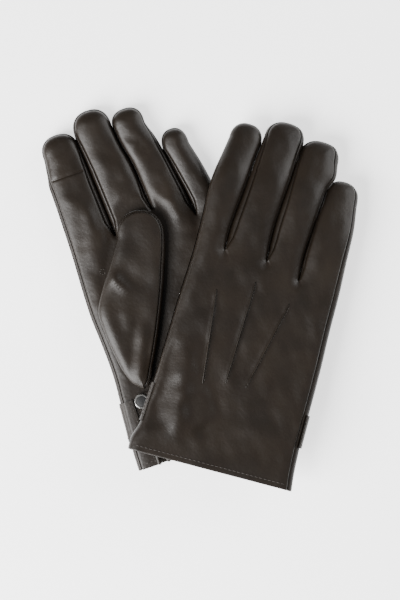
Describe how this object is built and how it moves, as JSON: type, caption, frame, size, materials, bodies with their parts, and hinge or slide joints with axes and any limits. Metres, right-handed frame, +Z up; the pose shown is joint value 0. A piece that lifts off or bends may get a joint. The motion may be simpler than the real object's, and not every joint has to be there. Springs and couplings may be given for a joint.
{
  "type": "touchscreen gloves",
  "caption": "Pair of lined leather dress gloves with raised points, wrist strap and stud, lying crossed with the upper glove back up and the lower palm up.",
  "frame": {"origin": "centre of the pair's bounding box, on the surface that it lies on", "axes": "+Y from the hems towards the fingertips, +Z up"},
  "size_m": [0.2177, 0.2635, 0.0379],
  "materials": {
    "leather": "satin nappa leather, very dark brown",
    "touch_leather": "satin conductive leather, very dark brown",
    "lining": "brushed knit",
    "thread": "twisted sewing thread",
    "elastic": "ribbed elastic tape",
    "stud_metal": "nickel plated"
  },
  "bodies": {
    "left_hand": {"left_back_leather": "leather", "left_palm_leather": "leather", "left_fourchette_index_middle": "leather", "left_fourchette_middle_ring": "leather", "left_fourchette_ring_little": "leather", "left_hand_lining": "lining", "left_hem_facing": "leather", "left_hem_stitching": "thread", "left_point_stitching": "thread", "left_vent_binding": "leather", "left_wrist_elastic": "elastic", "left_strap_tab": "leather", "left_strap_anchor": "leather", "left_snap_stud": "stud_metal", "left_snap_post": "stud_metal"},
    "left_strap_end": {"left_strap": "leather", "left_snap_cap": "stud_metal", "left_snap_socket": "stud_metal"},
    "left_thumb": {"left_thumb_front": "leather", "left_thumb_back": "leather", "left_thumb_lining": "lining"},
    "left_index": {"left_index_finger": "leather", "left_index_lining": "lining", "left_index_touch_tip": "touch_leather"},
    "left_middle": {"left_middle_finger": "leather", "left_middle_lining": "lining"},
    "left_ring": {"left_ring_finger": "leather", "left_ring_lining": "lining"},
    "left_little": {"left_little_finger": "leather", "left_little_lining": "lining"},
    "right_hand": {"right_back_leather": "leather", "right_palm_leather": "leather", "right_fourchette_index_middle": "leather", "right_fourchette_middle_ring": "leather", "right_fourchette_ring_little": "leather", "right_hand_lining": "lining", "right_hem_facing": "leather", "right_hem_stitching": "thread", "right_point_stitching": "thread", "right_vent_binding": "leather", "right_wrist_elastic": "elastic", "right_strap_tab": "leather", "right_strap_anchor": "leather", "right_snap_stud": "stud_metal", "right_snap_post": "stud_metal"},
    "right_strap_end": {"right_strap": "leather", "right_snap_cap": "stud_metal", "right_snap_socket": "stud_metal"},
    "right_thumb": {"right_thumb_front": "leather", "right_thumb_back": "leather", "right_thumb_lining": "lining"},
    "right_index": {"right_index_finger": "leather", "right_index_lining": "lining", "right_index_touch_tip": "touch_leather"},
    "right_middle": {"right_middle_finger": "leather", "right_middle_lining": "lining"},
    "right_ring": {"right_ring_finger": "leather", "right_ring_lining": "lining"},
    "right_little": {"right_little_finger": "leather", "right_little_lining": "lining"}
  },
  "joints": [
    {"name": "right_glove_lift", "type": "slide", "parent": "left_hand", "child": "right_hand", "axis": [0, 0, 1], "range_m": [0, 0.12]},
    {"name": "left_index_curl", "type": "hinge", "parent": "left_hand", "child": "left_index", "pos_m": [-0.08627, 0.06989, 0.006], "axis": [0.9461, 0.3239, 0], "range_deg": [0, 65]},
    {"name": "left_middle_curl", "type": "hinge", "parent": "left_hand", "child": "left_middle", "pos_m": [-0.06204, 0.08558, 0.006], "axis": [0.9461, 0.3239, 0], "range_deg": [0, 65]},
    {"name": "left_ring_curl", "type": "hinge", "parent": "left_hand", "child": "left_ring", "pos_m": [-0.03172, 0.08962, 0.006], "axis": [0.9461, 0.3239, 0], "range_deg": [0, 65]},
    {"name": "left_little_curl", "type": "hinge", "parent": "left_hand", "child": "left_little", "pos_m": [-0.0054, 0.08066, 0.006], "axis": [0.9461, 0.3239, 0], "range_deg": [0, 65]},
    {"name": "left_strap_open", "type": "hinge", "parent": "left_hand", "child": "left_strap_end", "pos_m": [-0.01562, -0.06236, 0.0141], "axis": [-0.3239, 0.9461, 0], "range_deg": [0, 12]},
    {"name": "right_index_bend", "type": "hinge", "parent": "right_hand", "child": "right_index", "pos_m": [0.01885, 0.07899, 0.02424], "axis": [0.9652, -0.2568, -0.0489], "range_deg": [0, 45]},
    {"name": "right_middle_bend", "type": "hinge", "parent": "right_hand", "child": "right_middle", "pos_m": [0.04766, 0.07856, 0.02263], "axis": [0.9652, -0.2568, -0.0489], "range_deg": [0, 45]},
    {"name": "right_ring_bend", "type": "hinge", "parent": "right_hand", "child": "right_ring", "pos_m": [0.07508, 0.06506, 0.02137], "axis": [0.9652, -0.2568, -0.0489], "range_deg": [0, 45]},
    {"name": "right_little_bend", "type": "hinge", "parent": "right_hand", "child": "right_little", "pos_m": [0.09198, 0.04298, 0.02089], "axis": [0.9652, -0.2568, -0.0489], "range_deg": [0, 45]},
    {"name": "right_strap_open", "type": "hinge", "parent": "right_hand", "child": "right_strap_end", "pos_m": [0.00377, -0.07035, 0.02014], "axis": [-0.2553, -0.9662, 0.0349], "range_deg": [0, 7]},
    {"name": "left_thumb_unfold", "type": "hinge", "parent": "left_hand", "child": "left_thumb", "pos_m": [-0.05278, -0.03254, 0.0125], "axis": [0.4784, -0.8782, 0], "range_deg": [0, 75]},
    {"name": "right_thumb_swing", "type": "hinge", "parent": "right_hand", "child": "right_thumb", "pos_m": [-0.01165, -0.03516, 0.02187], "axis": [0.0562, 0.0212, 0.9982], "range_deg": [0, 12]}
  ]
}
